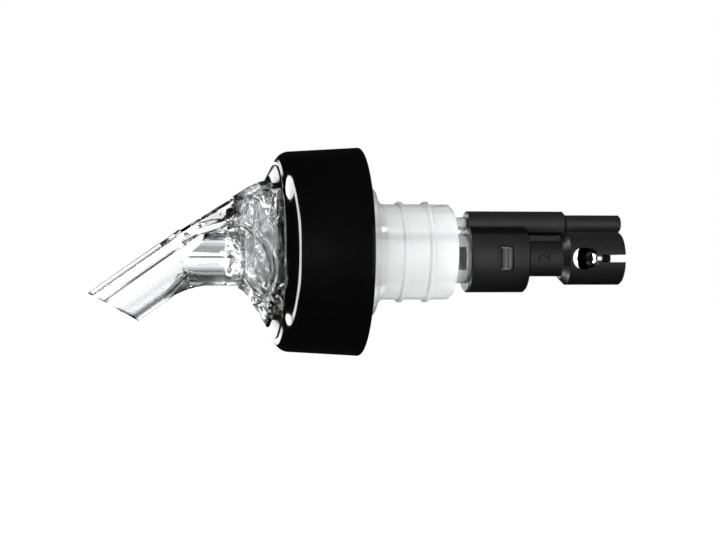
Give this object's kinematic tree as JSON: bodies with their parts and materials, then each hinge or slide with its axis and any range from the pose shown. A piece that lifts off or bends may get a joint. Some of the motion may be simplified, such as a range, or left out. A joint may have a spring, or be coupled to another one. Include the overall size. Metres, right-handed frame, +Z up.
{
  "type": "measured liquor pourer",
  "caption": "Clear slanted spout with collar, finned bottle cork and a metering tail whose steel balls roll to time and stop the pour.",
  "frame": {"origin": "on the cork's axis, midway between its two fins, where the bottle's neck grips it", "axes": "+X along the cork's axis from the spout to the metering tail, +Z up as the pourer lies in the picture with its spout pointing down"},
  "size_m": [0.1084, 0.0418, 0.0418],
  "materials": {
    "clear_plastic": "clear polished moulding",
    "gloss_black": "high gloss",
    "cork_plastic": "frosted translucent",
    "tail_black": "satin",
    "ball_steel": "polished"
  },
  "bodies": {
    "pourer": {"spout": "clear_plastic", "stem": "clear_plastic", "collar": "gloss_black", "cork": "cork_plastic", "chamber": "tail_black", "tail_cage": "tail_black"},
    "timing_ball": {"timing_ball": "ball_steel"},
    "pilot_ball": {"pilot_ball": "ball_steel"},
    "air_ball": {"air_ball": "ball_steel"}
  },
  "joints": [
    {"name": "timing_ball_roll", "type": "slide", "parent": "pourer", "child": "timing_ball", "axis": [1, 0, 0], "range_m": [-0.0126, 0]},
    {"name": "pilot_ball_roll", "type": "slide", "parent": "pourer", "child": "pilot_ball", "axis": [1, 0, 0], "range_m": [-0.0039, 0]},
    {"name": "air_ball_roll", "type": "slide", "parent": "pourer", "child": "air_ball", "axis": [1, 0, 0], "range_m": [-0.0128, 0]}
  ]
}
